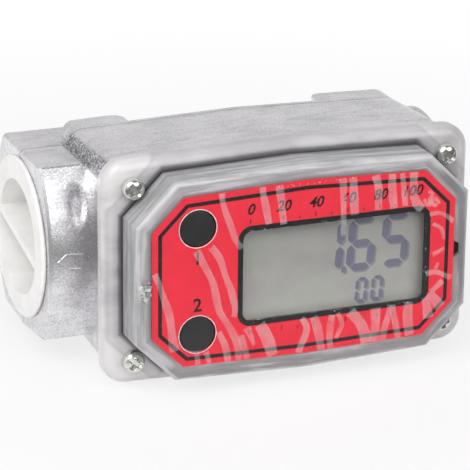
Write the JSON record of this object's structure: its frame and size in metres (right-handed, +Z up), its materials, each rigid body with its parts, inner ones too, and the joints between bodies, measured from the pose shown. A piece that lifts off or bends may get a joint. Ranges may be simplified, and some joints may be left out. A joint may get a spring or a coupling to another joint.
{
  "type": "turbine flow meter",
  "caption": "Inline turbine flow meter for fuel with a cast body, threaded ports, a vaned rotor inside and a clear domed display cover with push buttons.",
  "frame": {"origin": "centre of the outlet port's mouth, on the flow axis", "axes": "+X out of the outlet along the flow, -Y out of the display, +Z up"},
  "size_m": [0.098, 0.0611, 0.0524],
  "materials": {
    "cast_aluminium": "as-cast, satin, with a fine grain",
    "white_plastic": "satin",
    "clear_plastic": "clear, glossy",
    "clear_film": "clear film with wrinkles",
    "red_label": "satin print with black lines",
    "black_plastic": "smooth",
    "black_rubber": "matt",
    "grey_rubber": "matt",
    "bright_steel": "bright plated",
    "spring_steel": "satin",
    "hard_metal": "ground",
    "white_ceramic": "smooth",
    "turbine_plastic": "moulded",
    "magnet": "matt",
    "lcd_glass": "grey-green display",
    "board_green": "green varnish",
    "gold": "plated",
    "copper": "enamelled wire",
    "ceramic_chip": "smooth"
  },
  "bodies": {
    "housing": {"meter_body": "cast_aluminium", "inlet_support": "turbine_plastic", "outlet_support": "turbine_plastic", "inlet_retaining_ring": "spring_steel", "outlet_retaining_ring": "spring_steel", "rotor_shaft": "hard_metal", "clear_cover": "clear_plastic", "cover_gasket": "black_rubber", "cover_screws": "bright_steel", "face_label": "red_label", "protective_film": "clear_film", "keypad_mat": "grey_rubber", "key_contacts": "gold", "lcd_frame": "black_plastic", "lcd_panel": "lcd_glass", "lcd_connector_strips": "grey_rubber", "circuit_board": "board_green", "board_screws": "bright_steel", "left_battery": "spring_steel", "right_battery": "spring_steel", "battery_holders": "black_plastic", "battery_clips": "bright_steel", "microcontroller": "black_plastic", "oscillator_can": "bright_steel", "capacitors": "ceramic_chip", "pickup_bobbin": "white_plastic", "pickup_winding": "copper", "pickup_core": "hard_metal"},
    "rotor": {"rotor": "turbine_plastic", "inlet_rotor_bearing": "white_ceramic", "outlet_rotor_bearing": "white_ceramic", "rotor_magnets": "magnet"},
    "upper_button": {"upper_button": "black_plastic", "upper_button_pill": "black_rubber"},
    "lower_button": {"lower_button": "black_plastic", "lower_button_pill": "black_rubber"},
    "inlet_plug": {"inlet_plug": "white_plastic"}
  },
  "joints": [
    {"name": "rotor_spin", "type": "hinge", "parent": "housing", "child": "rotor", "pos_m": [-0.046, 0, 0], "axis": [1, 0, 0], "continuous": true},
    {"name": "upper_button_press", "type": "slide", "parent": "housing", "child": "upper_button", "axis": [0, 1, 0], "range_m": [0, 0.0008], "stiffness_N_per_m": 1200, "springref_m": -0.0004},
    {"name": "lower_button_press", "type": "slide", "parent": "housing", "child": "lower_button", "axis": [0, 1, 0], "range_m": [0, 0.0008], "stiffness_N_per_m": 1200, "springref_m": -0.0004},
    {"name": "inlet_plug_slide", "type": "slide", "parent": "housing", "child": "inlet_plug", "axis": [-1, 0, 0], "range_m": [0, 0.03]}
  ]
}
